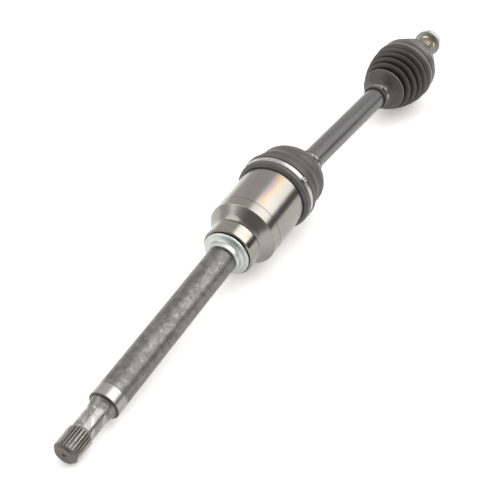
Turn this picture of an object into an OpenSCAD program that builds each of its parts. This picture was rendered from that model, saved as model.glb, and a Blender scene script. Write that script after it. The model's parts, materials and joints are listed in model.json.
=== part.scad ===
// Driveshaft of a front-driven car: splined inner shaft with a support bearing, plunging tripod
// joint, painted bar, and fixed ball joint with a splined wheel stub and its nut.
// The origin is the middle of the support bearing. X runs towards the wheel and Z is up. The
// axle lies on a bench, bent a little at both joints, and turns about its own long axis.

/* [Pose on the bench] */
// Sideways angle between the inner shaft and the bar, in degrees
inner_yaw = 2.7; // [0:0.1:4]
// Rise of the wheel stub above the level, in degrees
stub_rise = 2.8; // [0:0.1:3.5]
// Sideways angle between the bar and the wheel stub, in degrees
stub_yaw = 1.1; // [0:0.1:3]

/* [Inner shaft] */
// Distance from the support bearing to the gearbox end of the shaft
shaft_l = 326; // [300:1:420]
// Radius of the forged part of the shaft
shaft_r = 17.2; // [16.8:0.1:17.4]
// Length of the gearbox spline
spline_l = 24; // [20:1:32]
// Outer radius of the gearbox spline
spline_r = 13.9; // [13.2:0.1:14.5]
// Number of teeth on the gearbox spline
spline_teeth = 26; // [22:1:28]

/* [Support bearing] */
// Outer radius of the bearing
bearing_r = 31; // [31:0.5:33]
// Width of the bearing
bearing_w = 20; // [19:0.5:20]
// Number of balls in the bearing
bearing_balls = 11; // [8:1:11]

/* [Tripod joint] */
// Outer radius of the joint housing
housing_r = 41.9; // [41:0.1:42.5]
// Distance from the support bearing to the middle of the spider
spider_x = 71; // [70:1:74]
// Radius from the axis to the middle of each roller
roller_pitch_r = 24; // [23.8:0.1:24.2]
// Radius of the rollers
roller_r = 14.5; // [14.2:0.1:14.6]
// Number of needles inside each roller
needles = 21; // [12:1:21]

/* [Bar] */
// Distance between the middles of the two joints
bar_l = 404; // [360:1:480]
// Radius of the bar
bar_r = 14; // [13:0.1:14]

/* [Ball joint] */
// Radius of the joint balls
ball_r = 7.9375; // [7.8:0.01:7.95]
// Radius from the joint's middle to the ball centres
ball_pitch_r = 27.5; // [27.3:0.1:27.6]
// Outer radius of the bell where the boot is clamped
bell_r = 38.5; // [38.5:0.1:39]
// Distance from the joint's middle to the end of the wheel stub
stub_l = 85; // [84:1:100]
// Outer radius of the wheel spline
stub_spline_r = 13.5; // [13:0.1:13.8]
// Number of teeth on the wheel spline
stub_teeth = 25; // [22:1:27]

/* [Nut] */
// Width across the flats of the nut
nut_flats = 30; // [29:1:33]
// Radius of the nut's captive washer
washer_r = 18.7; // [18:0.1:21]

/* [Hidden] */
$fn = 96;
far = 200;                   // longer than any cut needs to be
run_gap = 0.05;              // running clearance of turning pieces
seat_gap = 0.02;             // clearance of pieces pushed on a seat

// Inner shaft and its housing, measured along the shaft from the bearing's middle
tip_chamfer = 3;
tip_x = -shaft_l + tip_chamfer;
spline_root_r = spline_r - 1;
neck_r = 12.4;
journal_x0 = -259;
journal_x1 = -244;
journal_r = 17.5;
seat_r = 17.5;
back_x = 25;                 // back edge of the housing's cylinder
mouth_x = spider_x + 41;
cavity_x = 30;
boot_seat_x = spider_x + 27;
bore_r = 22.3;
mouth_r = 33.8;
track_r = roller_r + 1.6;      // room for the rollers' drift when the joint bends in one plane
track_top = 33.9;

// The shaft rests on the tip of its spline and on the back edge of the housing
inner_rise = atan((housing_r - spline_r) / (back_x - tip_x));
bench_z = tip_x * sin(inner_rise) - spline_r * cos(inner_rise);
boot_rest_r = 44.4;          // largest fold of the outer boot, which rests on the bench too
boot_rest_x = -26;
outer_rest = boot_rest_r * cos(stub_rise) - boot_rest_x * sin(stub_rise);
spider_y = spider_x * cos(inner_rise) * sin(inner_yaw);
spider_z = spider_x * sin(inner_rise);
bar_dip = asin((spider_z - bench_z - outer_rest) / bar_l);

// Bearing
bearing_pitch_r = 24.25;
bearing_ball_r = 3.97;
inner_ring_r = 22.2;
outer_ring_bore_r = 26.4;
seal_r = 28.6;

// Spider, rollers and needles
hub_r = 15.5;
hub_half = 11;
trunnion_r = 9;
trunnion_top = 31.9;
roller_half = 6;
needle_r = 1.5;
needle_pitch_r = trunnion_r + run_gap + needle_r;
roller_bore_r = needle_pitch_r + needle_r + run_gap;
needle_l = 12;
land_r = 10.9;
retainer_r = 12.9;

// Bar, measured along the bar from the spider's middle
seat_bar_r = 11;
neck_bar_r = 11.5;
bar_end_x = -15;
bar_far_x = bar_l + 14;

// Ball joint, measured along the stub from the joint's middle
track_gap = 1.15;             // the balls are fixed in the cage, so the tracks have room to spare
race_sphere_r = 24.4;
race_half = 11.5;
cage_inner_r = race_sphere_r + 0.07;
cage_outer_r = 29.8;
cage_half = 13.5;
bell_sphere_r = cage_outer_r + 0.07;
bell_front_x = -13;
bell_mouth_r = 31;
bell_floor_x = 24.5;
dome_r = 38;
stub_shoulder_x = 36;
stub_shoulder_r = 20;
thread_x = 64;
thread_r = 12;
thread_pitch = 1.5;

// Nut and washer
washer_x = 69;
washer_t = 3;
nut_x = washer_x + washer_t + 0.1;
nut_h = 9.5;
nut_bevel = tan(60);         // slope of the bevel on the nut's outer corners

// Folds of the outer boot, as [place before the joint's middle, radius]
outer_folds = [[-77.5, 31.5], [-66.5, 37], [-55, 41], [-40.5, 43.4]];
last_fold = [boot_rest_x, boot_rest_r];
boot_wall = 2.2;
inner_collar_r = 16;         // narrow end of the inner boot
outer_collar_r = 17.2;

module at_inner()
    rotate([0, -inner_rise, inner_yaw]) children();

module at_bar()
    translate([spider_x * cos(inner_rise) * cos(inner_yaw), spider_y, spider_z])
        rotate([0, bar_dip, 0]) children();

module at_outer_joint(share)
    at_bar() translate([bar_l, 0, 0])
        rotate([0, -share * (stub_rise + bar_dip), share * stub_yaw]) children();

// A solid of revolution about X from points [x, radius]
module turned(points)
    rotate([0, 90, 0]) rotate_extrude() polygon([for (p = points) [p[1], p[0]]]);

module rod(radius, x0, x1)
    translate([x0, 0, 0]) rotate([0, 90, 0]) cylinder(r = radius, h = x1 - x0);

module cone(r0, r1, x0, x1)
    translate([x0, 0, 0]) rotate([0, 90, 0]) cylinder(r1 = r0, r2 = r1, h = x1 - x0);

module tube(r_out, r_in, x0, x1)
    difference() {
        rod(r_out, x0, x1);
        rod(r_in, x0 - 1, x1 + 1);
    }

module ring_groove(pitch_r, groove_r)
    rotate([0, 90, 0]) rotate_extrude() translate([pitch_r, 0]) circle(groove_r, $fn = 64);

// Straight spline: a root cylinder with trapezoid teeth
module spline(teeth, root_r, tip_r, x0, x1) {
    base = 0.62 * PI * root_r / teeth;
    top = 0.30 * PI * tip_r / teeth;
    rod(root_r, x0, x1);
    for (i = [0:teeth - 1])
        rotate([i * 360 / teeth, 0, 0]) translate([x0, 0, 0]) rotate([0, 90, 0])
            linear_extrude(x1 - x0)
                polygon([[0.5 - root_r, base], [-tip_r, top], [-tip_r, -top], [0.5 - root_r, -base]]);
}

// Open spring ring for a groove
module circlip(r_out, r_in, x0, x1)
    difference() {
        tube(r_out, r_in, x0, x1);
        translate([x0 - 1, -2, -r_out - 1]) cube([x1 - x0 + 2, 4, r_out]);
    }

// Band clamp with a pinched ear that stands up at the given angle about X
module band_clamp(r_in, thickness, x0, x1, ear_h, ear_angle)
    union() {
        tube(r_in + thickness, r_in, x0, x1);
        rotate([ear_angle, 0, 0]) translate([x0, -3, r_in + thickness / 2])
            cube([x1 - x0, 2, ear_h]);
        rotate([ear_angle, 0, 0]) translate([x0, 1, r_in + thickness / 2])
            cube([x1 - x0, 2, ear_h]);
        rotate([ear_angle, 0, 0]) translate([x0, -3, r_in + thickness / 2 + ear_h - 1])
            cube([x1 - x0, 6, 1]);
    }

module bearing_outer_ring()
    color("gainsboro") at_inner() difference() {
        turned([[-bearing_w / 2, seal_r], [-bearing_w / 2, bearing_r - 1.4],
            [-bearing_w / 2 + 1.2, bearing_r], [bearing_w / 2 - 1.2, bearing_r],
            [bearing_w / 2, bearing_r - 1.4], [bearing_w / 2, seal_r],
            [bearing_w / 2 - 2.6, seal_r], [bearing_w / 2 - 2.6, outer_ring_bore_r],
            [-bearing_w / 2 + 2.6, outer_ring_bore_r], [-bearing_w / 2 + 2.6, seal_r]]);
        ring_groove(bearing_pitch_r, bearing_ball_r + run_gap);
    }

module bearing_seals()
    color("#18181a") at_inner() for (side = [-1, 1])
        tube(seal_r - seat_gap, inner_ring_r + 0.1, side * 8.5 - 0.9, side * 8.5 + 0.9);

module bearing_ball_set()
    color("silver") at_inner() for (i = [0:bearing_balls - 1])
        rotate([i * 360 / bearing_balls, 0, 0]) translate([0, 0, bearing_pitch_r])
            sphere(bearing_ball_r);

module bearing_cage()
    color("#c9b98a") at_inner() difference() {
        tube(25.4, 23.1, -4.8, 4.8);
        for (i = [0:bearing_balls - 1])
            rotate([i * 360 / bearing_balls, 0, 0]) translate([0, 0, bearing_pitch_r])
                sphere(bearing_ball_r + run_gap);
    }

module bearing_inner_ring()
    color("silver") at_inner() difference() {
        tube(inner_ring_r, seat_r + seat_gap, -bearing_w / 2, bearing_w / 2);
        ring_groove(bearing_pitch_r, bearing_ball_r + run_gap);
    }

// Pressed zinc-plated shield with a raised hub, turning in front of the bearing
module dust_shield()
    color("#c6d2cf") at_inner()
        turned([[-23, shaft_r + seat_gap], [-23, 19.4], [-22.8, 20], [-22.2, 20.3], [-16.4, 20.7],
            [-15.2, 21.3], [-14.4, 22.4], [-14.1, 23.6], [-13.9, 26.6], [-13.5, 27.5],
            [-12.7, 27.9], [-11.2, 27.9], [-11.2, 27], [-12.6, 26.6], [-12.9, 25.6],
            [-13.1, 23.4], [-13.6, 22.2], [-14.6, 20.6], [-16, 19.8], [-21.8, 19.4],
            [-21.8, shaft_r + seat_gap]]);

// Outline of the joint housing's back: a cone that runs into the bearing's shoulder with a fillet
function housing_back() = [[bearing_w / 2 + 0.05, seat_r], [bearing_w / 2 + 0.05, 21.9],
    [bearing_w / 2 + 0.8, 22.6], [bearing_w / 2 + 0.8, 29.9], [11.2, 30.5], [12.4, 31],
    [13.6, 31.6], [14.8, 32.4], [16, 33.4], [20, 37.4], [back_x - 0.7, housing_r - 0.3],
    [back_x, housing_r]];

module housing_cavity() {
    rod(bore_r, cavity_x, mouth_x - 29);
    cone(bore_r, mouth_r, mouth_x - 29, mouth_x + 0.01);
    translate([cavity_x, 0, 0]) rotate([0, 90, 0]) linear_extrude(far)
        for (side = [60, 180, 300])
            rotate(side) intersection() {
                translate([roller_pitch_r, 0]) circle(track_r);
                translate([0, -far / 2]) square([track_top, far]);
            }
}

module inner_shaft()
    color("#77756f") at_inner() difference() {
        union() {
            intersection() {
                spline(spline_teeth, spline_root_r, spline_r, -shaft_l, tip_x + spline_l);
                cone(spline_r - tip_chamfer, far, -shaft_l, -shaft_l + far - spline_r + tip_chamfer);
            }
            turned(concat([[tip_x + spline_l - 1, 0], [tip_x + spline_l - 1, spline_root_r - 0.4],
                [tip_x + spline_l + 1.4, neck_r - 0.3], [tip_x + spline_l + 3, neck_r],
                [journal_x0 - 14, neck_r], [journal_x0 - 8, neck_r + 0.5],
                [journal_x0 - 4, 13.6], [journal_x0 - 1.5, 14.6], [journal_x0 - 0.6, 15.6],
                [journal_x0, 16.8], [journal_x0 + 0.8, journal_r],
                [journal_x1, journal_r], [journal_x1 + 0.6, shaft_r + 0.1],
                [journal_x1 + 2, shaft_r], [-bearing_w / 2 - 0.5, shaft_r],
                [-bearing_w / 2, seat_r]], housing_back(),
                [[38, housing_r], [38.3, housing_r - 0.3], [38.6, housing_r],
                [boot_seat_x, housing_r], [mouth_x - 1, housing_r], [mouth_x, housing_r - 1],
                [mouth_x, 0]]));
        }
        housing_cavity();
        cone(2.6, 0.2, -shaft_l - 0.01, -shaft_l + 4.5);
    }

// The rubber boots are closed hollow solids, bent where the two lines meet
module inner_boot()
    color("#232323") difference() {
        union() {
            at_inner() translate([spider_x, 0, 0])
                turned([[27, 40], [27, 42.4], [28.6, 45.2], [30.6, 45.9], [34.8, 45.9], [35, 45],
                    [42, 45], [42.2, 46.4], [48, 46.5], [50.5, 46], [53, 44], [60, 43.5],
                    [60, 40]]);
            at_bar() turned([[53, 38], [54, 42], [58, 43.6], [64, 43.8], [72, 43], [79, 41.4],
                [85, 38.6], [91, 34.2], [97, 28], [102, 21.4], [105, 17.4], [107, inner_collar_r],
                [118, inner_collar_r], [118, bar_r + seat_gap], [106, bar_r + seat_gap]]);
        }
        at_inner() translate([spider_x, 0, 0]) rod(housing_r + seat_gap, 26, 42);
        at_inner() translate([spider_x, 0, 0])
            turned([[41.9, 0], [41.9, 41.5], [60, 40.6], [60, 0]]);
        at_bar() turned([[50, 0], [50, 38], [60, 41], [71, 40.4], [78, 38.8], [83.4, 36.2],
            [89, 32], [94.6, 26.2], [99.4, 19.8], [102.4, 16], [106, bar_r + seat_gap],
            [119, bar_r + seat_gap], [119, 0]]);
    }

module inner_boot_clamp_large()
    color("silver") at_inner() translate([spider_x, 0, 0])
        band_clamp(45.1, 1.2, 35.3, 41.7, 3.6, -28);

module inner_boot_clamp_small()
    color("silver") at_bar() band_clamp(inner_collar_r + 0.1, 0.8, 109, 115, 2.4, -20);

// One roller, standing on the trunnion that points along +Z
module roller()
    translate([0, 0, roller_pitch_r]) difference() {
        intersection() {
            sphere(roller_r);
            cylinder(r = far, h = 2 * roller_half, center = true);
        }
        cylinder(r = roller_bore_r, h = far, center = true);
    }

module roller_1()
    color("lightsteelblue") at_bar() roller();

module roller_2()
    color("lightsteelblue") at_bar() rotate([120, 0, 0]) roller();

module roller_3()
    color("lightsteelblue") at_bar() rotate([240, 0, 0]) roller();

module needle_rollers()
    color("silver") at_bar() for (side = [0, 120, 240], i = [0:needles - 1])
        rotate([side, 0, 0]) rotate([0, 0, i * 360 / needles])
            translate([needle_pitch_r, 0, roller_pitch_r])
                cylinder(r = needle_r, h = needle_l, center = true, $fn = 24);

module roller_retainers()
    color("#8d8f91") at_bar() for (side = [0, 120, 240])
        rotate([side, 0, 0]) translate([0, 0, roller_pitch_r + roller_half + 0.15]) difference() {
            cylinder(r = retainer_r, h = 1);
            translate([0, 0, -1]) cylinder(r = trunnion_r - 0.6, h = 3);
        }

module tripod_spider()
    color("#9a9a98") at_bar() difference() {
        union() {
            rod(hub_r, -hub_half, hub_half);
            for (side = [0, 120, 240])
                rotate([side, 0, 0]) {
                    cylinder(r = trunnion_r, h = trunnion_top);
                    cylinder(r = land_r, h = roller_pitch_r - roller_half - 0.3);
                }
        }
        rod(seat_bar_r + seat_gap, -far, far);
        for (side = [0, 120, 240])
            rotate([side, 0, 0]) translate([0, 0, roller_pitch_r + roller_half + 0.1])
                difference() {
                    cylinder(r = trunnion_r + 1, h = 1.1);
                    cylinder(r = trunnion_r - 0.65, h = 1.1);
                }
    }

module spider_circlip()
    color("dimgray") at_bar() circlip(13, 9.95, -hub_half - 1.6, -hub_half - 0.1);

module bar_shaft()
    color("#2e3032") at_bar() difference() {
        turned([[bar_end_x, 0], [bar_end_x, seat_bar_r - 1], [bar_end_x + 1, seat_bar_r],
            [hub_half + 0.1, seat_bar_r], [hub_half + 0.1, neck_bar_r], [60, neck_bar_r],
            [78, bar_r], [bar_l - 37, bar_r], [bar_l - 27, neck_bar_r - 0.5],
            [bar_l - race_half - 2, neck_bar_r - 0.5], [bar_l - race_half - 0.1, seat_bar_r - 0.3],
            [bar_l - race_half - 0.1, seat_bar_r - 0.1], [bar_far_x - 1, seat_bar_r - 0.1],
            [bar_far_x, seat_bar_r - 1], [bar_far_x, 0]]);
        tube(far, 9.9, -hub_half - 1.7, -hub_half);
        tube(far, 9.8, bar_l + race_half, bar_l + race_half + 1.7);
    }

module race_circlip()
    color("dimgray") at_bar()
        circlip(12.8, 9.85, bar_l + race_half + 0.1, bar_l + race_half + 1.6);

// Ring of the circle that the ball centres keep to, in the plane through X and Z
module ball_track(radius)
    rotate([90, 0, 0]) rotate_extrude() translate([ball_pitch_r, 0]) circle(radius, $fn = 64);

module ball_joint_race()
    color("#a5a5a3") at_bar() translate([bar_l, 0, 0]) difference() {
        intersection() {
            sphere(race_sphere_r);
            rod(far, -race_half, race_half);
        }
        rod(seat_bar_r - 0.1 + seat_gap, -far, far);
        for (side = [0, 60, 120])
            rotate([side, 0, 0]) ball_track(ball_r + track_gap);
    }

module ball_joint_cage()
    color("#7f8284") at_outer_joint(0.5) difference() {
        intersection() {
            sphere(cage_outer_r);
            rod(far, -cage_half, cage_half);
        }
        sphere(cage_inner_r);
        for (i = [0:5])
            rotate([i * 60, 0, 0]) cylinder(r = ball_r + run_gap, h = far);
    }

module joint_balls()
    color("silver") at_outer_joint(0.5) for (i = [0:5])
        rotate([i * 60, 0, 0]) translate([0, 0, ball_pitch_r]) sphere(ball_r);

// Outline of the bell and its stub: dome, shoulder, spline root and thread
function bell_outline() = [[bell_front_x, 0], [bell_front_x, bell_r - 0.8],
    [bell_front_x + 0.8, bell_r], [3.4, bell_r], [3.6, dome_r - 0.2], [7, dome_r - 0.4],
    for (a = [78:-9:33]) [dome_r * cos(a), dome_r * sin(a)],
    [stub_shoulder_x - 1, stub_shoulder_r + 0.8], [stub_shoulder_x, stub_shoulder_r],
    [stub_shoulder_x, stub_spline_r + 0.5], [stub_shoulder_x + 3, stub_spline_r + 0.5],
    [stub_shoulder_x + 4, stub_spline_r - 1], [thread_x - 1, stub_spline_r - 1],
    [thread_x, thread_r - 0.9],
    for (i = [0:floor((stub_l - thread_x) / thread_pitch) - 2])
        each [[thread_x + thread_pitch * (i + 0.5), thread_r],
            [thread_x + thread_pitch * (i + 1), thread_r - 0.9]],
    [stub_l, thread_r - 1.6], [stub_l, 0]];

module ball_joint_bell()
    color("#857c70") at_outer_joint(1) {
        difference() {
            union() {
                turned(bell_outline());
                intersection() {
                    spline(stub_teeth, stub_spline_r - 2, stub_spline_r, stub_shoulder_x + 2,
                        thread_x - 2);
                    cone(stub_spline_r + 20, stub_spline_r - 1, stub_shoulder_x - 16,
                        thread_x - 1.5);
                }
            }
            sphere(bell_sphere_r);
            cone(bell_mouth_r, 27.2, bell_front_x - 0.01, -9);
            for (side = [0, 60, 120])
                rotate([side, 0, 0]) ball_track(ball_r + track_gap);
            cone(0.2, 2.6, stub_l - 4.5, stub_l + 0.01);
        }
        turned([[bell_floor_x, 0], [bell_floor_x, 30], [27, 29], [33, 20], [38, 18], [38, 0]]);
    }

// Points of a folded boot wall through the fold crests, a depth below them in the valleys
function fold_points(folds, depth, drop) = [for (i = [0:len(folds) - 1])
    each concat([[folds[i][0] - 2, folds[i][1] - 0.7 - drop], [folds[i][0], folds[i][1] - drop],
        [folds[i][0] + 2, folds[i][1] - 0.7 - drop]],
        i < len(folds) - 1
            ? [[(folds[i][0] + folds[i + 1][0]) / 2, folds[i][1] - depth - drop]]
            : [])];

module outer_boot()
    color("#232323") difference() {
        union() {
            at_bar() translate([bar_l, 0, 0])
                turned(concat([[-104, bar_r + seat_gap], [-104, outer_collar_r], [-92, outer_collar_r + 0.2],
                    [-89, 19.5], [-84, 27.6], [-82, 29]], fold_points(outer_folds, 2.5, 0),
                    [[-34, 41.5], [-34, 36]]));
            at_outer_joint(1) turned([[-35, 36], [-35, 41], [-31, 42], [last_fold[0] - 2, 43.5],
                last_fold, [last_fold[0] + 2, 43.5], [-16, 41.2], [-9, 41.6], [-7.4, 41.4],
                [-7.2, 40.7], [1.2, 40.7], [1.4, 41], [3.2, 40.6], [3.2, bell_r + seat_gap]]);
        }
        at_outer_joint(1) rod(bell_r + seat_gap, -20, 4);
        at_outer_joint(1) turned([[-36, 0], [-36, 38.6], [last_fold[0], 41.4],
            [-17, bell_r + seat_gap], [-17, 0]]);
        at_bar() translate([bar_l, 0, 0])
            turned(concat([[-105, 0], [-105, bar_r + seat_gap], [-91, bar_r + seat_gap],
                [-87, 17.4], [-81.4, 26.4]], fold_points(outer_folds, 2.5, boot_wall),
                [[-33, 39], [-33, 0]]));
    }

module outer_boot_clamp_small()
    color("silver") at_bar() translate([bar_l, 0, 0])
        band_clamp(outer_collar_r + 0.25, 0.8, -101, -95, 2.4, -20);

module outer_boot_clamp_large()
    color("#55585a") at_outer_joint(1) band_clamp(40.8, 0.8, -6.8, 0.8, 3, 100);

module nut_washer()
    color("#c3c6c0") at_outer_joint(1)
        tube(washer_r, thread_r + 0.4, washer_x, washer_x + washer_t);

module axle_nut()
    color("#c8cdc9") at_outer_joint(1) difference() {
        intersection() {
            translate([nut_x, 0, 0]) rotate([0, 90, 0])
                cylinder(r = nut_flats / 2 / cos(30), h = nut_h, $fn = 6);
            cone(nut_flats / 2 + 0.4 + nut_bevel * (nut_h + 1), nut_flats / 2 + 0.4, nut_x - 1,
                nut_x + nut_h);
        }
        rod(thread_r + run_gap, nut_x - 1, nut_x + nut_h + 1);
    }

bearing_outer_ring();
bearing_seals();
bearing_ball_set();
bearing_cage();
bearing_inner_ring();
dust_shield();
inner_shaft();
inner_boot();
inner_boot_clamp_large();
inner_boot_clamp_small();
roller_1();
roller_2();
roller_3();
needle_rollers();
roller_retainers();
tripod_spider();
spider_circlip();
bar_shaft();
ball_joint_race();
race_circlip();
ball_joint_cage();
joint_balls();
ball_joint_bell();
outer_boot();
outer_boot_clamp_small();
outer_boot_clamp_large();
nut_washer();
axle_nut();
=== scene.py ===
"""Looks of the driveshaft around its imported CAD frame.

Outlines are lists of (x, r, corner radius) in mm: x along the piece's own axis from its joint, r from
the axis. Angles of revolved pieces are in radians from the side vector of across().
"""
import json
import math

import bmesh
import bpy
import numpy as np
from mathutils import Matrix, Quaternion, Vector


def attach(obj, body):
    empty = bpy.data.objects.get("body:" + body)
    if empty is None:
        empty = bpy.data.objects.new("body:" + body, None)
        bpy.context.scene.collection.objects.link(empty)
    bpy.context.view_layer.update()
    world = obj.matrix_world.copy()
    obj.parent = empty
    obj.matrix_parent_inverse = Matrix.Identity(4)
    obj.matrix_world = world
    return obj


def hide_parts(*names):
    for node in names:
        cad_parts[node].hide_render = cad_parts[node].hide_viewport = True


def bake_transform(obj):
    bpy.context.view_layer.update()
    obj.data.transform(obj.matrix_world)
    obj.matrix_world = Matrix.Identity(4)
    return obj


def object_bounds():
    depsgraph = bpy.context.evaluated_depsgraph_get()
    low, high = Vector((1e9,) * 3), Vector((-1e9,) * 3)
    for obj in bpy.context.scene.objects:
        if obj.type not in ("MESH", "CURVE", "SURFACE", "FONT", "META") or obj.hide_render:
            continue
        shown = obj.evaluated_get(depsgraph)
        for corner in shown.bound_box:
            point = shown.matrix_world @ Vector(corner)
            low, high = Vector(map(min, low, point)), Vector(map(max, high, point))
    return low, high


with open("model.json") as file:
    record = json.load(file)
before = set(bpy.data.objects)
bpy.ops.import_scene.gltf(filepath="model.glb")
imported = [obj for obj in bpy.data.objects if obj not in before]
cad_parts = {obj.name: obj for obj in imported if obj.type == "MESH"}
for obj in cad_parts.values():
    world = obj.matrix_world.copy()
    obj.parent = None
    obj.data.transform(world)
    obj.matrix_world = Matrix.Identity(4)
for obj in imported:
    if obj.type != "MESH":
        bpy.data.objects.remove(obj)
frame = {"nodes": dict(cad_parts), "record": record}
CAD_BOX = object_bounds()
JOINTS = {j["name"]: j for j in frame["record"]["behaviour"]["joints"]}
MM = 0.001
X, Y, Z = (1, 0, 0), (0, 1, 0), (0, 0, 1)

# ---------------------------------------------------------------- axes, all read from the record
SHAFT_DIR = Vector(JOINTS["axle_spin"]["axis"]).normalized()
SHAFT_AT = Vector(JOINTS["axle_spin"]["pos_m"])
J1 = Vector(JOINTS["inner_bend"]["pos_m"])
J2 = Vector(JOINTS["outer_bend"]["pos_m"])
BAR_DIR = (J2 - J1).normalized()
STUB_DIR = Vector(JOINTS["nut_turn"]["axis"]).normalized()


def across(axis):
    """Two unit vectors square to axis: to the side, and up."""
    side = Vector(Z).cross(axis).normalized()
    return side, axis.cross(side).normalized()


# ---------------------------------------------------------------- mesh helpers
ARC_STEP = math.radians(11)  # turn between two points of a rounded corner
FLAT_CORNER = 0.02  # turn in radians below which a corner isn't rounded
SIDE_STEP = 2.0  # longest side of a boot's outline, in mm, so that the boot bends smoothly
BOOT_STEPS = 192  # points round a boot
CLAMP_STEPS = 200  # points round a clamp


def rounded(points):
    """Closed outline [(x, r, corner radius)] with each corner turned into an arc."""
    out = []
    for i, (*corner, radius) in enumerate(points):
        p = np.array(corner, float)
        a = np.array(points[i - 1][:2], float)
        b = np.array(points[(i + 1) % len(points)][:2], float)
        u, v = a - p, b - p
        lu, lv = np.linalg.norm(u), np.linalg.norm(v)
        if radius <= 0:
            out.append(tuple(p))
            continue
        u, v = u / lu, v / lv
        ang = math.acos(max(-1, min(1, float(u @ v))))
        turn = math.pi - ang
        if turn < FLAT_CORNER:
            out.append(tuple(p))
            continue
        cut = min(radius / math.tan(ang / 2), 0.49 * lu, 0.49 * lv)
        centre = p + (u + v) / np.linalg.norm(u + v) * (cut * math.tan(ang / 2) / math.sin(ang / 2))
        s, e = p + u * cut - centre, p + v * cut - centre
        steps = max(2, math.ceil(turn / ARC_STEP))
        sign = 1 if s[0] * e[1] - s[1] * e[0] > 0 else -1
        for j in range(steps + 1):
            t = sign * turn * j / steps
            c, d = math.cos(t), math.sin(t)
            out.append((centre[0] + s[0] * c - s[1] * d, centre[1] + s[0] * d + s[1] * c))
    return out


def cut_sides(points):
    """Closed outline with every long side cut into steps of at most SIDE_STEP."""
    out = []
    for i, p in enumerate(points):
        q = points[(i + 1) % len(points)]
        k = max(1, math.ceil(math.hypot(q[0] - p[0], q[1] - p[1]) / SIDE_STEP))
        out += [(p[0] + (q[0] - p[0]) * j / k, p[1] + (q[1] - p[1]) * j / k) for j in range(k)]
    return out


def smooth_step(t):
    t = min(1.0, max(0.0, t))
    return t * t * (3 - 2 * t)


def mesh_object(name, verts, faces, sharp=None, fold=None):
    """Smooth mesh with its doubles merged; edges over `sharp` degrees stay sharp."""
    me = bpy.data.meshes.new(name)
    me.from_pydata([tuple(v) for v in verts], [], faces)
    if fold:
        me.attributes.new("fold", "FLOAT", "POINT").data.foreach_set("value", fold)
    bm = bmesh.new()
    bm.from_mesh(me)
    bmesh.ops.remove_doubles(bm, verts=bm.verts, dist=1e-7)
    bmesh.ops.recalc_face_normals(bm, faces=bm.faces)
    bm.to_mesh(me)
    bm.free()
    for p in me.polygons:
        p.use_smooth = True
    if sharp:
        me.set_sharp_from_angle(angle=math.radians(sharp))
    return link_object(name, me)


def link_object(name, data):
    """Object with the given data, linked into the scene."""
    ob = bpy.data.objects.new(name, data)
    bpy.context.scene.collection.objects.link(ob)
    return ob


def revolve(name, outline, place, segments, sharp=None, swell=None, shade=None):
    """Closed outline [(x, r)] turned round an axis; place(x, r, angle) gives the point in metres.

    swell(r, angle) is the radius with a local thickness added. shade(x, r), from 0 in a fold's depth
    to 1 on its crest, is kept with each point for the material.
    """
    verts, faces = [], []
    n = len(outline)
    for k in range(segments):
        a = 2 * math.pi * k / segments
        verts += [place(x, swell(r, a) if swell else r, a) for x, r in outline]
        m = (k + 1) % segments
        for i in range(n):
            j = (i + 1) % n
            faces.append((k * n + i, k * n + j, m * n + j, m * n + i))
    values = [shade(x, r) for x, r in outline] * segments if shade else None
    return mesh_object(name, verts, faces, sharp, values)


def straight(origin, axis):
    """place() for a piece turned about a straight axis."""
    side, up = across(axis)

    def place(x, r, a):
        return origin + axis * (x * MM) + (side * math.cos(a) + up * math.sin(a)) * (r * MM)

    return place


def bent(origin, first, last, x0, x1):
    """place() for a sleeve about axis `first` before x0 and `last` after x1, bent round origin."""
    axis, angle = first.rotation_difference(last).to_axis_angle()
    unbent = straight(Vector(), first)

    def place(x, r, a):
        share = smooth_step((x - x0) / (x1 - x0))
        return origin + Quaternion(axis, angle * share) @ unbent(x, r, a)

    return place


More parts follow.
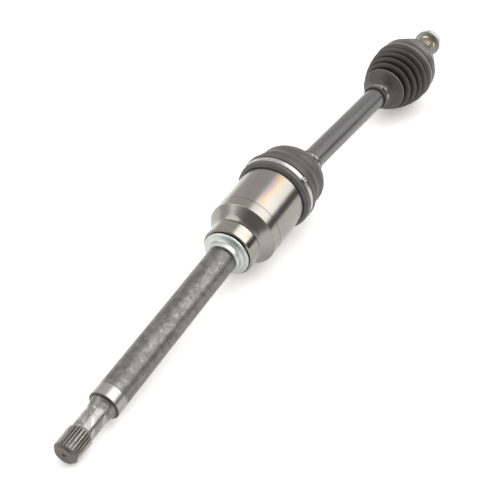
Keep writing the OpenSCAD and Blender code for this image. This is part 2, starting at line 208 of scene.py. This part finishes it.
# ---------------------------------------------------------------- material helpers
class Nodes:
    """Short names for the shader nodes of one material."""

    def __init__(self, name):
        self.mat = bpy.data.materials.new(name)
        self.mat.use_nodes = True
        self.tree = self.mat.node_tree
        self.tree.nodes.clear()
        self.bsdf = self.new("ShaderNodeBsdfPrincipled")
        self.link(self.bsdf.outputs[0], self.new("ShaderNodeOutputMaterial").inputs[0])
        self.coord = self.new("ShaderNodeTexCoord").outputs["Object"]

    def new(self, kind, **props):
        node = self.tree.nodes.new(kind)
        for key, value in props.items():
            setattr(node, key, value)
        return node

    def link(self, a, b):
        self.tree.links.new(a, b)

    def put(self, socket, value):
        """Link or set one input; a colour may leave out its alpha."""
        if isinstance(value, bpy.types.NodeSocket):
            self.link(value, socket)
        elif isinstance(value, tuple) and len(value) == 3 and socket.type == "RGBA":
            socket.default_value = (*value, 1)
        else:
            socket.default_value = value

    def fill(self, node, sockets, values):
        for socket, value in zip(sockets, values):
            self.put(node.inputs[socket], value)
        return node

    def set(self, **values):
        """Inputs of the Principled node, with _ for a space in their names."""
        self.fill(self.bsdf, [key.replace("_", " ") for key in values], values.values())

    def math(self, op, a, b=0.0):
        return self.fill(self.new("ShaderNodeMath", operation=op), (0, 1), (a, b)).outputs[0]

    def times(self, a, b):
        return self.math("MULTIPLY", a, b)

    def plus(self, a, b):
        return self.math("ADD", a, b)

    def vmath(self, op, a, b=(0, 0, 0)):
        node = self.fill(self.new("ShaderNodeVectorMath", operation=op), (0, 1), (a, b))
        return node.outputs["Value" if op == "DOT_PRODUCT" else "Vector"]

    def axial(self, origin, axis):
        """Distances in mm from origin: along an axis, to its side and up from it."""
        p = self.vmath("SUBTRACT", self.coord, tuple(origin))
        return [
            self.times(self.vmath("DOT_PRODUCT", p, tuple(d)), 1 / MM) for d in (axis, *across(axis))
        ]

    def radius(self, y, z):
        return self.math("SQRT", self.plus(self.times(y, y), self.times(z, z)))

    def angle(self, y, z):
        return self.math("ARCTAN2", z, y)

    def vector(self, x, y, z):
        return self.fill(self.new("ShaderNodeCombineXYZ"), "XYZ", (x, y, z)).outputs[0]

    def noise(self, vector, scale, detail=3.0, rough=0.55, distortion=0.0):
        sockets = ("Vector", "Scale", "Detail", "Roughness", "Distortion")
        node = self.fill(self.new("ShaderNodeTexNoise"), sockets, (vector, scale, detail, rough, distortion))
        return node.outputs["Fac"]

    def spread(self, value, low, high, to_low=0.0, to_high=1.0, kind="SMOOTHSTEP"):
        """Map low..high, either way round, to to_low..to_high and hold it outside."""
        node = self.new("ShaderNodeMapRange", interpolation_type=kind, clamp=True)
        return self.fill(node, range(5), (value, low, high, to_low, to_high)).outputs[0]

    def between(self, value, low, high, soft):
        """1 between low and high, 0 outside, with soft edges."""
        return self.times(
            self.spread(value, low - soft / 2, low + soft / 2),
            self.spread(value, high + soft / 2, high - soft / 2),
        )

    def mix(self, fac, a, b):
        """Colour a where fac is 0 and b where it is 1."""
        return self.fill(self.new("ShaderNodeMix", data_type="RGBA"), (0, 6, 7), (fac, a, b)).outputs[2]

    def blend(self, fac, a, b):
        """Number a where fac is 0 and b where it is 1."""
        return self.fill(self.new("ShaderNodeMix", data_type="FLOAT"), (0, 2, 3), (fac, a, b)).outputs[0]

    def bump(self, height, distance, strength, normal=None):
        sockets = ("Height", "Distance", "Strength")
        node = self.fill(self.new("ShaderNodeBump"), sockets, (height, distance, strength))
        if normal is not None:
            self.link(normal, node.inputs["Normal"])
        return node.outputs[0]


def turning_marks(m, x, angle, pitch):
    """Fine rings left by a lathe tool: noise that is long round the axis and short along it."""
    v = m.vector(m.times(x, 1 / pitch), m.math("SINE", angle), m.math("COSINE", angle))
    return m.noise(v, 1.0, detail=4, rough=0.6)


def plain_metal(name, color, rough, origin, axis, pitch=0.35, tint=None, spots=0.3):
    """Turned metal with fine rings, a slow change of colour and small stains."""
    m = Nodes(name)
    x, y, z = m.axial(origin, axis)
    rings = turning_marks(m, x, m.angle(y, z), pitch)
    stain = m.noise(m.coord, 60, detail=5, rough=0.65)
    dark = tuple(c * 0.72 for c in color)
    base = m.mix(m.spread(stain, 0.42, 0.7, 0, spots), color, tint or dark)
    m.set(
        Base_Color=m.mix(m.spread(rings, 0.3, 0.7, 0, 0.25), base, dark),
        Metallic=1.0,
        Roughness=m.plus(
            m.spread(stain, 0.3, 0.7, rough - 0.04, rough + 0.07), m.spread(rings, 0.3, 0.7, 0, 0.04)
        ),
        Normal=m.bump(rings, 0.00002, 0.5),
    )
    return m.mat


def rubber(name, origin, axis, color, rough, folded=False):
    """Moulded rubber: satin, finely pitted and a little dusty; in folds, painted highlights on the crests
    and painted shade in the depths.
    """
    # crest is a painted highlight colour and depth a painted shade colour, both laid on the folds
    dust, crest, depth = (0.105, 0.10, 0.095), (0.205, 0.198, 0.19), (0.009, 0.008, 0.0085)
    m = Nodes(name)
    x, y, z = m.axial(origin, axis)
    fine = m.noise(m.coord, 1500, detail=3, rough=0.6)
    cloud = m.noise(m.coord, 45, detail=5, rough=0.6)
    flow = m.noise(m.vector(m.times(x, 0.5), m.times(m.angle(y, z), 1.2), 0), 1.4, detail=4)
    base = m.mix(m.spread(cloud, 0.35, 0.7), tuple(c * 0.82 for c in color), tuple(c * 1.25 for c in color))
    base = m.mix(m.spread(flow, 0.5, 0.75, 0, 0.35), base, dust)
    gloss = 0.5
    if folded:
        fold = m.new("ShaderNodeAttribute", attribute_name="fold").outputs["Fac"]
        # painted shade darkens the folds' depths and painted highlights lighten their crests; the gloss is
        # also weaker in the depths, which deepens the shade
        base = m.mix(m.spread(fold, 0.80, 0.15, 0, 0.95), base, depth)
        base = m.mix(m.spread(fold, 0.88, 0.99, 0, 0.85), base, crest)
        gloss = m.spread(fold, 0.15, 0.80, 0.10, 0.48)
    m.set(
        Base_Color=base,
        Roughness=m.plus(m.spread(cloud, 0.3, 0.7, rough - 0.05, rough + 0.08), m.times(fine, 0.05)),
        Normal=m.bump(fine, 0.00005, 0.35),
        Specular_IOR_Level=gloss,
    )
    return m.mat


# ---------------------------------------------------------------- inner shaft and housing
# stretches along the shaft, in mm from the bearing's middle
SPLINE = (-330, -297.5)
NECK = (-298, -259)
FLARE = (-270, -258.6)
STEP = (-260.1, -258.3)
JOURNAL = (-259, -243.6)
FORGED = (-243.6, -12)
SCORE = (37.95, 38.65)
# stretches of the painted straw and purple reflection tint on the housing
STRAW = (42, 110)
PURPLE = (54, 86)
TIP_CHAMFER = -325.6
TOOTH_TIP, TOOTH_ROOT = 13.7, 12.9


def forged_skin(m, patch, fleck):
    """Dark forged scale with flecks drawn out along the shaft."""
    skin = m.mix(m.spread(patch, 0.36, 0.66), (0.115, 0.110, 0.103), (0.190, 0.183, 0.172))
    skin = m.mix(m.spread(fleck, 0.57, 0.70, 0, 0.8), skin, (0.36, 0.35, 0.33))
    return m.mix(m.spread(fleck, 0.43, 0.34, 0, 0.55), skin, (0.06, 0.057, 0.053))


def ground_steel(m, x, angle, rings):
    """Ground steel, with a straw and purple painted reflection tint along one side of the housing, and a
    score line.
    """
    warm = m.noise(m.coord, 18, detail=3)
    steel = m.mix(m.spread(warm, 0.3, 0.7), (0.246, 0.231, 0.207), (0.276, 0.262, 0.240))
    steel = m.mix(m.spread(rings, 0.25, 0.75, 0, 0.25), steel, (0.20, 0.185, 0.165))
    # painted reflection: a straw and purple tint laid at one angle round the housing, beside the panel's
    # reflected streak
    wander = m.plus(angle, m.times(m.math("SUBTRACT", warm, 0.5), 0.30))
    straw = m.times(m.between(wander, 1.89, 2.07, 0.14), m.between(x, *STRAW, 16))
    purple = m.times(m.between(wander, 1.85, 1.95, 0.13), m.between(x, *PURPLE, 14))
    steel = m.mix(m.times(straw, 0.7), steel, (0.34, 0.265, 0.15))
    steel = m.mix(m.times(purple, 0.55), steel, (0.235, 0.185, 0.31))
    journal = m.mix(m.spread(rings, 0.25, 0.75), (0.33, 0.325, 0.31), (0.25, 0.245, 0.235))
    steel = m.mix(m.spread(x, -30, -60), steel, journal)
    return m.mix(m.times(m.between(x, *SCORE, 0.25), 0.75), steel, (0.05, 0.045, 0.04))


def spline_steel(m, x, r):
    """Rolled teeth with painted shade in their roots and a dark chamfer at the tip."""
    dirt = m.noise(m.coord, 260, detail=5, rough=0.65)
    tooth = m.mix(m.spread(dirt, 0.4, 0.65), (0.29, 0.28, 0.26), (0.19, 0.18, 0.165))
    # painted shade: the teeth darken towards their roots
    tooth = m.mix(m.spread(r, TOOTH_TIP, TOOTH_ROOT), tooth, (0.13, 0.125, 0.115))
    return m.mix(m.spread(x, TIP_CHAMFER, TIP_CHAMFER - 0.3, 0, 0.9), tooth, (0.13, 0.115, 0.095))


def shaft_material():
    """Forged skin on the long part, ground steel on the housing, journal, neck and spline."""
    m = Nodes("inner_shaft_steel")
    x, y, z = m.axial(SHAFT_AT, SHAFT_DIR)
    angle = m.angle(y, z)
    rings = turning_marks(m, x, angle, 0.3)
    forged = m.between(x, *FORGED, 0.6)
    spline = m.between(x, *SPLINE, 0.6)
    flare = m.between(x, *FLARE, 3.0)
    neck = m.between(x, *NECK, 1)
    patch = m.noise(m.coord, 120, detail=6, rough=0.66, distortion=0.4)
    lengthwise = m.vector(m.times(x, 0.0004), m.times(y, 0.001), m.times(z, 0.001))
    fleck = m.noise(lengthwise, 430, detail=6, rough=0.72, distortion=1.0)

    # swirling bright tool marks of the neck
    turns = m.plus(angle, m.times(x, 0.075))
    winding = m.vector(m.math("SINE", turns), m.math("COSINE", turns), m.times(x, 0.05))
    swirl = m.noise(winding, 1.7, detail=3)
    neck_color = m.mix(m.spread(swirl, 0.40, 0.60), (0.22, 0.214, 0.20), (0.34, 0.333, 0.315))
    scratch = m.times(m.between(swirl, 0.49, 0.506, 0.010), 0.8)
    neck_color = m.mix(scratch, neck_color, (0.07, 0.066, 0.06))
    dull = m.mix(m.spread(patch, 0.35, 0.7), (0.13, 0.125, 0.115), (0.24, 0.23, 0.215))

    base = m.mix(forged, ground_steel(m, x, angle, rings), forged_skin(m, patch, fleck))
    base = m.mix(neck, base, neck_color)
    base = m.mix(flare, base, dull)
    base = m.mix(m.between(x, *STEP, 0.3), base, (0.075, 0.068, 0.06))
    base = m.mix(spline, base, spline_steel(m, x, m.radius(y, z)))
    rough = m.blend(forged, m.spread(rings, 0.3, 0.7, 0.17, 0.24), m.spread(fleck, 0.3, 0.7, 0.48, 0.32))
    rough = m.blend(neck, rough, m.spread(swirl, 0.4, 0.6, 0.34, 0.24))
    rough = m.blend(m.between(x, *JOURNAL, 0.5), rough, 0.30)
    for dull_part in (flare, spline):
        rough = m.blend(dull_part, rough, 0.42)
    rugged = m.plus(m.times(patch, 0.6), m.times(fleck, 0.6))
    pits = m.times(m.plus(forged, flare), 0.4)
    m.set(
        Base_Color=base,
        Metallic=m.blend(forged, 1.0, 0.9),
        Roughness=rough,
        Normal=m.bump(rugged, 0.0006, pits, m.bump(rings, 0.00003, 0.45)),
    )
    return m.mat


def paint_material():
    """Black bar paint: satin, with faint runs along the bar and dust."""
    m = Nodes("bar_paint")
    x, y, z = m.axial(J1, BAR_DIR)
    peel = m.noise(m.coord, 420, detail=3, rough=0.5)
    runs = m.noise(m.vector(m.times(x, 0.03), y, z), 0.35, detail=5)
    dust = m.noise(m.coord, 900, detail=4, rough=0.7)
    base = m.mix(m.spread(runs, 0.35, 0.7), (0.044, 0.044, 0.046), (0.058, 0.058, 0.060))
    m.set(
        Base_Color=m.mix(m.spread(dust, 0.60, 0.72, 0, 0.35), base, (0.16, 0.16, 0.155)),
        Roughness=m.spread(runs, 0.3, 0.7, 0.25, 0.31),
        Normal=m.bump(peel, 0.00012, 0.35),
        Specular_IOR_Level=1.0,
    )
    return m.mat


# ---------------------------------------------------------------- ball joint bell and stub
# places along the stub, in mm from the ball joint's middle
SHOULDER = 32.5
FILM_START = 36.5
STUB_SPLINE = (39, 62.5)
STUB_TOOTH_TIP, STUB_TOOTH_ROOT = 13.3, 12.6
BELL_CAVITY_R = 38.3


def bell_material():
    """Dark forged bell, bright shoulder, and a stub with a golden brown film."""
    m = Nodes("bell_steel")
    x, y, z = m.axial(J2, STUB_DIR)
    r = m.radius(y, z)
    rings = turning_marks(m, x, m.angle(y, z), 0.3)
    patch = m.noise(m.coord, 90, detail=6, rough=0.62, distortion=0.5)
    forged = m.mix(m.spread(patch, 0.35, 0.7), (0.10, 0.098, 0.095), (0.21, 0.205, 0.20))
    tarnish = m.noise(m.coord, 120, detail=4)
    film = m.mix(m.spread(tarnish, 0.35, 0.65), (0.44, 0.35, 0.22), (0.52, 0.49, 0.44))
    bright = m.mix(m.spread(rings, 0.3, 0.7), (0.34, 0.32, 0.29), (0.26, 0.25, 0.23))
    turned = m.spread(x, SHOULDER, SHOULDER + 1)
    base = m.mix(turned, forged, bright)
    base = m.mix(m.spread(x, FILM_START, FILM_START + 1.5), base, film)
    # painted shade: the stub's teeth darken towards their roots
    roots = m.times(m.between(x, *STUB_SPLINE, 0.5), m.spread(r, STUB_TOOTH_TIP, STUB_TOOTH_ROOT))
    base = m.mix(roots, base, (0.27, 0.22, 0.15))
    inside = m.times(m.spread(x, 3, 2), m.spread(r, BELL_CAVITY_R, BELL_CAVITY_R - 0.3))
    m.set(
        Base_Color=m.mix(inside, base, (0.35, 0.34, 0.33)),
        Metallic=0.95,
        Roughness=m.blend(turned, m.spread(patch, 0.3, 0.7, 0.5, 0.36), 0.26),
        Normal=m.bump(
            m.plus(m.times(patch, 0.6), rings), 0.0002, m.spread(x, SHOULDER + 1, SHOULDER, 0.12, 0.5)
        ),
    )
    return m.mat


# ---------------------------------------------------------------- inner boot, about the tripod's middle
BOOT_SPLIT = 66.0  # where the boot's two halves meet
INNER_BEND = (50, 110)  # stretch over which the boot turns from the shaft's axis to the bar's
inner_skin = rubber("inner_boot_rubber", J1, BAR_DIR, (0.066, 0.062, 0.061), 0.44)
inner_place = bent(J1, SHAFT_DIR, BAR_DIR, *INNER_BEND)

front_outline = rounded([
    # lip, clamp seat, bead and a low bulge
    (26.6, 41.95, 0.3), (26.6, 43.2, 0.4), (29.4, 46.6, 0.7), (33.8, 47.2, 0.5), (34.4, 45.7, 0.3),
    (42.0, 45.7, 0.3), (42.6, 47.6, 0.6), (48.4, 47.7, 1.4), (50.4, 45.2, 0.8), (52.2, 42.6, 1.4),
    (55.2, 43.2, 2.0), (58.6, 44.3, 3.0), (63.0, 42.9, 3.0), (BOOT_SPLIT, 42.2, 0),
    # inside
    (BOOT_SPLIT, 40.0, 0), (54, 41.9, 0.8), (43, 41.95, 0),
])
front = revolve("inner_boot_front", cut_sides(front_outline), inner_place, BOOT_STEPS)
front.data.materials.append(inner_skin)
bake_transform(front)

rear_outline = rounded([
    # dome, and collar with its clamp seat
    (BOOT_SPLIT, 42.2, 0), (69.5, 42.0, 3.0), (74.5, 42.8, 6.0), (80.5, 41.0, 8.0), (86.5, 37.4, 10.0),
    (92.5, 32.2, 10.0), (98.0, 26.0, 10.0), (102.4, 20.2, 6.0), (105.2, 17.2, 2.0), (107.2, 16.7, 0.8),
    (108.8, 16.7, 0.3), (109.0, 15.9, 0.2), (115.2, 15.9, 0.2), (115.4, 16.7, 0.3), (118.4, 16.7, 0.6),
    # inside
    (118.6, 14.2, 0.2), (106.6, 14.2, 1.0), (103.0, 16.4, 2.0), (100.2, 19.4, 5.0), (96.0, 24.8, 8.0),
    (90.8, 30.6, 8.0), (85.2, 35.3, 8.0), (79.6, 38.7, 7.0), (74.3, 40.5, 6.0), (69.6, 39.8, 3.0),
    (BOOT_SPLIT, 40.0, 0),
])
rear = revolve("inner_boot_rear", cut_sides(rear_outline), inner_place, BOOT_STEPS)
rear.data.materials.append(inner_skin)
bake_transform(rear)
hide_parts("inner_boot")

# ---------------------------------------------------------------- clamps
ROLLED_EDGE = 0.28  # height of the rolled edges, and TAIL of the end that lies on the strip,
TAIL = 0.55  # both as shares of the strip's thickness
TAIL_TURN = 0.95  # how far round the strip's end overlaps the strip, in radians
EAR_POINTS = 33
EAR_FEET = 0.62  # share of the ear from its middle to where its feet start
EAR_INSET = 0.7  # the ear is this much narrower than the strip on each side


def clamp_ring(name, place, r, x0, x1, thick, ear_angle):
    """Strip with rolled edges, thicker where its tail lies over it."""
    rim, top = r + thick + ROLLED_EDGE * thick, r + thick
    outline = rounded([
        (x0, r, 0.15), (x0, rim, 0.35), (x0 + 1.0, top, 0.4),
        (x1 - 1.0, top, 0.4), (x1, rim, 0.35), (x1, r, 0.15),
    ])

    def tail(rr, a):
        past_ear = (a - ear_angle + math.pi) % (2 * math.pi) - math.pi
        return rr + TAIL * thick if 0 < past_ear < TAIL_TURN and rr > r + 0.3 * thick else rr

    return revolve(name, outline, place, CLAMP_STEPS, sharp=50, swell=tail)


def ear_path(half, high, thick):
    """[(angle, height)] over a pinched ear: up from one foot, over a dented crown and down again."""
    path = []
    for t in np.linspace(-1, 1, EAR_POINTS):
        s = abs(t)
        if s > EAR_FEET:
            u = (s - EAR_FEET) / (1 - EAR_FEET)
            a, h = half * (0.62 + 0.5 * u), high * 0.95 * (1 - u)
        else:
            u = s / EAR_FEET * math.pi / 2
            dent = 0.10 * math.exp(-((s / 0.2) ** 2))
            a, h = half * 0.78 * math.sin(u), high * (0.95 + 0.12 * math.cos(u) - dent)
        path.append((math.copysign(a, t), h + thick * 0.6))
    return path


def clamp_ear(name, place, r, x0, x1, thick, ear_angle, ear_high, ear_wide):
    """A strip bent up, across and down again, pinched in at its foot."""
    left, right = x0 + EAR_INSET, x1 - EAR_INSET
    section = ((left, 0), (left, thick * 0.9), (right, thick * 0.9), (right, 0))
    path = ear_path(ear_wide / 2 / (r + thick), ear_high, thick)
    verts = [place(x, r + h + dh, ear_angle + a) for a, h in path for x, dh in section]
    last = (len(path) - 1) * 4
    faces = [
        (k + i, k + (i + 1) % 4, k + 4 + (i + 1) % 4, k + 4 + i) for k in range(0, last, 4) for i in range(4)
    ]
    faces += [(3, 2, 1, 0), (last, last + 1, last + 2, last + 3)]
    ear = mesh_object(name, verts, faces, 40)
    bevel = ear.modifiers.new("soft_edges", "BEVEL")
    bevel.width, bevel.segments, bevel.limit_method = 0.00018, 2, "ANGLE"
    return ear


def clamp(name, node, body, material, place, strip_size, ear_at, ear_size):
    """Strip clamp of a boot.

    strip_size is its inner radius, its two edges and its thickness, ear_size the ear's height and
    width, in mm, and ear_at the ear's place round it in degrees.
    """
    ring = clamp_ring(name, place, *strip_size, math.radians(ear_at))
    ear = clamp_ear(name + "_ear", place, *strip_size, math.radians(ear_at), *ear_size)
    for ob in (ring, ear):
        ob.data.materials.append(material)
        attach(ob, body)
    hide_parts(node)


strip = plain_metal("clamp_strip", (0.44, 0.43, 0.41), 0.24, J1, SHAFT_DIR, pitch=0.5)
strip_bar = plain_metal("clamp_strip_small", (0.31, 0.305, 0.295), 0.17, J1, BAR_DIR, pitch=0.5)
strip_dark = plain_metal("clamp_strip_dark", (0.15, 0.15, 0.148), 0.42, J2, STUB_DIR, pitch=0.5)
clamp(
    "clamp_inner_large", "inner_boot_clamp_large", "inner", strip,
    straight(J1, SHAFT_DIR), (45.75, 35.0, 41.4, 0.9), ear_at=141, ear_size=(1.9, 6.5),
)
clamp(
    "clamp_inner_small", "inner_boot_clamp_small", "bar", strip_bar,
    straight(J1, BAR_DIR), (15.95, 109.2, 115.0, 0.7), ear_at=128, ear_size=(2.0, 6.0),
)
clamp(
    "clamp_outer_small", "outer_boot_clamp_small", "bar", strip_bar,
    straight(J2, BAR_DIR), (16.05, -101.0, -95.0, 0.7), ear_at=128, ear_size=(2.0, 6.0),
)
clamp(
    "clamp_outer_large", "outer_boot_clamp_large", "outer", strip_dark,
    straight(J2, STUB_DIR), (40.6, -6.6, 0.6, 0.8), ear_at=-20, ear_size=(2.4, 9.0),
)

# ---------------------------------------------------------------- outer boot, about the ball joint's middle
CRESTS = [(-76.5, 30.0), (-65.5, 35.2), (-54.5, 38.8), (-43.0, 41.6), (-32.6, 43.1)]
VALLEYS = [(-71.2, 25.4), (-60.4, 29.6), (-48.9, 33.2), (-38.0, 36.4), (-26.8, 39.4)]
LAST_BULGE = (-17.0, 43.8)
GROOVE_X = -11.0  # between the last bulge and the large clamp
OUTER_BEND = (-88, -8)  # stretch over which the boot turns from the bar's axis to the stub's
WALL = 2.2
FOLD_DEPTH = 6.0
PLAIN_SHADE = 0.8  # shade of the parts without folds

collar = [
    (-104.2, 14.2, 0.2), (-104.4, 16.6, 0.8), (-101.6, 16.8, 0.3), (-101.4, 16.0, 0.2), (-94.6, 16.0, 0.2),
    (-94.4, 16.8, 0.3), (-91.5, 17.0, 1.6), (-88.0, 19.0, 2.5), (-82.0, 25.7, 4.0), (-78.8, 29.0, 1.4),
]
large_end = [
    (-21.0, 43.2, 1.5), (*LAST_BULGE, 2.5), (-12.6, 42.9, 1.2), (GROOVE_X, 41.6, 0.8), (-8.6, 42.0, 0.8),
    (-7.2, 41.8, 0.4), (-7.0, 40.6, 0.2), (1.0, 40.2, 0.2), (1.2, 40.4, 0.3), (3.2, 39.6, 0.6),
    (3.3, 38.55, 0.2),
]
folds, folds_inside = [], []
for (crest_x, crest_r), (valley_x, valley_r) in zip(CRESTS, VALLEYS):
    folds += [(crest_x, crest_r, 1.2), (valley_x, valley_r, 1.3)]
    folds_inside += [(crest_x, crest_r - WALL, 1.0), (valley_x, valley_r - WALL, 1.0)]
inside = [(-15, 38.6, 0.5), (-20, 40.8, 1.5), *folds_inside[::-1]]
inside += [(-80.4, 24.6, 1.5), (-86.6, 18.0, 2.0), (-90.5, 14.2, 1.0)]


def fold_depth(x, r):
    """Value for the outer boot's painted highlights and painted shade: 1 on a crest, falling to 0 at
    FOLD_DEPTH below the line over the crests.
    """
    if x < CRESTS[0][0] - 3:
        return PLAIN_SHADE
    if x > large_end[0][0]:
        # painted highlight on the last bulge and painted shade in the groove before the large clamp
        bulge = 0.16 * math.exp(-(((x - LAST_BULGE[0]) / 3.5) ** 2))
        groove = 0.5 * math.exp(-(((x - GROOVE_X) / 0.9) ** 2))
        return PLAIN_SHADE + bulge - groove
    over = np.interp(x, *zip(*CRESTS, LAST_BULGE))
    return float(min(1.0, max(0.0, 1 - (over - r) / FOLD_DEPTH)))


outer = revolve(
    "outer_boot_skin", cut_sides(rounded(collar + folds + large_end + inside)),
    bent(J2, BAR_DIR, STUB_DIR, *OUTER_BEND), BOOT_STEPS, shade=fold_depth,
)
outer_skin = rubber("outer_boot_rubber", J2, BAR_DIR, (0.046, 0.043, 0.043), 0.46, folded=True)
outer.data.materials.append(outer_skin)
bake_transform(outer)
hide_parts("outer_boot")

# ---------------------------------------------------------------- materials of the CAD nodes
SHAFT, BAR, STUB = (SHAFT_AT, SHAFT_DIR), (J1, BAR_DIR), (J2, STUB_DIR)
HARDENED, ZINC_TINT, NUT_TINT = (0.36, 0.36, 0.35), (0.58, 0.60, 0.57), (0.36, 0.39, 0.38)
for material, nodes in (
    (shaft_material(), ["inner_shaft"]),
    (paint_material(), ["bar_shaft"]),
    (bell_material(), ["ball_joint_bell"]),
    (plain_metal("bearing_polish", (0.27, 0.255, 0.23), 0.13, *SHAFT, pitch=0.25, spots=0.15),
     ["bearing_outer_ring", "bearing_inner_ring", "bearing_ball_set"]),
    (plain_metal("hardened_bar", HARDENED, 0.30, *BAR),
     ["tripod_spider", "roller_retainers", "spider_circlip", "ball_joint_race", "race_circlip"]),
    (plain_metal("hardened_outer", HARDENED, 0.30, *STUB), ["ball_joint_cage"]),
    (plain_metal("rolling_steel", (0.55, 0.55, 0.54), 0.12, *BAR, spots=0.1),
     ["roller_1", "roller_2", "roller_3", "needle_rollers", "joint_balls"]),
    (plain_metal("zinc_shield", (0.52, 0.56, 0.54), 0.38, *SHAFT, pitch=0.8, tint=ZINC_TINT),
     ["dust_shield"]),
    (plain_metal("zinc_nut", (0.43, 0.455, 0.445), 0.42, *STUB, pitch=0.8, tint=NUT_TINT),
     ["nut_washer", "axle_nut"]),
    (plain_metal("cage_brass", (0.62, 0.50, 0.28), 0.30, *SHAFT), ["bearing_cage"]),
    (rubber("seal_rubber", *SHAFT, (0.02, 0.02, 0.021), 0.5), ["bearing_seals"]),
):
    for node in nodes:
        mesh = frame["nodes"][node].data
        mesh.materials.clear()
        mesh.materials.append(material)

# ---------------------------------------------------------------- floor and light
FLOOR_HALF = 14.0
FLOOR_GAP = 0.0004  # keeps the floor's face clear of the points that rest on it
low, high = CAD_BOX
floor_z = low.z - FLOOR_GAP
corners = [(x * FLOOR_HALF, y * FLOOR_HALF, floor_z) for x, y in ((-1, -1), (1, -1), (1, 1), (-1, 1))]
floor_mesh = bpy.data.meshes.new("floor")
floor_mesh.from_pydata(corners, [], [(0, 1, 2, 3)])
floor = link_object("floor", floor_mesh)
floor_paint = Nodes("pale_floor")
floor_paint.set(
    Base_Color=(0.93, 0.93, 0.93), Roughness=0.9, Specular_IOR_Level=0.1,
    Emission_Color=(1.0, 1.0, 1.0), Emission_Strength=0.28,
)
floor.data.materials.append(floor_paint.mat)

# one large soft light from the upper left; the long bright streaks come from the world's panel
SOFTBOX_AT = Vector((-0.5, 1.3, 1.7))
softbox_data = bpy.data.lights.new("softbox", "AREA")
softbox_data.size, softbox_data.energy = 2.0, 16
softbox = link_object("softbox", softbox_data)
softbox.location = SOFTBOX_AT
softbox.rotation_mode = "QUATERNION"
softbox.rotation_quaternion = (-SOFTBOX_AT).to_track_quat("-Z", "Y")


class Studio(Nodes):
    """The same short names for the world's nodes."""

    def __init__(self, tree):
        self.tree = tree
        self.tree.nodes.clear()
        self.direction = self.vmath("NORMALIZE", self.new("ShaderNodeTexCoord").outputs["Generated"])


def studio_light(world):
    """Pale room that is dimmer on one side, with a long bright panel over a dark screen.

    The panel and the screen lie along X and curve round it; height is the angle round X.
    """
    w = Studio(world.node_tree)
    x, y, z = (w.vmath("DOT_PRODUCT", w.direction, d) for d in (X, Y, Z))
    height = w.math("ARCTAN2", z, w.times(y, -1.0))
    top = w.spread(x, 0.60, 0.67, 1.62, 1.18, kind="LINEAR")
    panel = w.spread(height, w.plus(top, 0.10), w.math("SUBTRACT", top, 0.10))
    for edge in (w.spread(height, 0.42, 0.58), w.spread(x, 0.73, 0.68), w.spread(x, 0.1, 0.3)):
        panel = w.times(panel, edge)
    screen = w.times(w.between(height, -0.5, 0.42, 0.16), w.spread(x, 0.1, 0.4))
    dim_side = w.vmath("DOT_PRODUCT", w.direction, (-0.66, -0.45, 0.60))
    level = w.spread(dim_side, 0.50, 0.95, 1.0, 0.32)
    level = w.blend(screen, level, 0.16)
    level = w.blend(panel, level, 4.2)
    background = w.fill(w.new("ShaderNodeBackground"), ("Color", "Strength"), ((1.0, 0.985, 0.965), level))
    w.link(background.outputs[0], w.new("ShaderNodeOutputWorld").inputs[0])


scene = bpy.context.scene
scene.world = bpy.data.worlds.new("studio")
scene.world.use_nodes = True
studio_light(scene.world)

# ---------------------------------------------------------------- camera
PITCH, TURN = math.radians(38.119), math.radians(31.379)
LENS = 80.784  # for a 36 mm sensor
# where the camera stands from the tripod's middle, in mm: left of it, below it in the view, and back
CAMERA_LEFT, CAMERA_BELOW, CAMERA_BACK = 22.398, 46.203, 1307.82

ahead = Vector((math.cos(TURN), math.sin(TURN), 0))
right = Vector((math.sin(TURN), -math.cos(TURN), 0))
look = ahead * math.cos(PITCH) - Vector(Z) * math.sin(PITCH)
down = -ahead * math.sin(PITCH) - Vector(Z) * math.cos(PITCH)
camera_data = bpy.data.cameras.new("camera")
camera_data.sensor_width, camera_data.lens = 36, LENS
camera_data.clip_start, camera_data.clip_end = 0.05, 30
camera = link_object("camera", camera_data)
camera.rotation_mode = "QUATERNION"
camera.location = J1 - (right * CAMERA_LEFT - down * CAMERA_BELOW + look * CAMERA_BACK) * MM
camera.rotation_quaternion = Matrix((right, -down, -look)).transposed().to_quaternion()
scene.camera = camera
scene.view_settings.view_transform = "Standard"
scene.view_settings.look = "None"
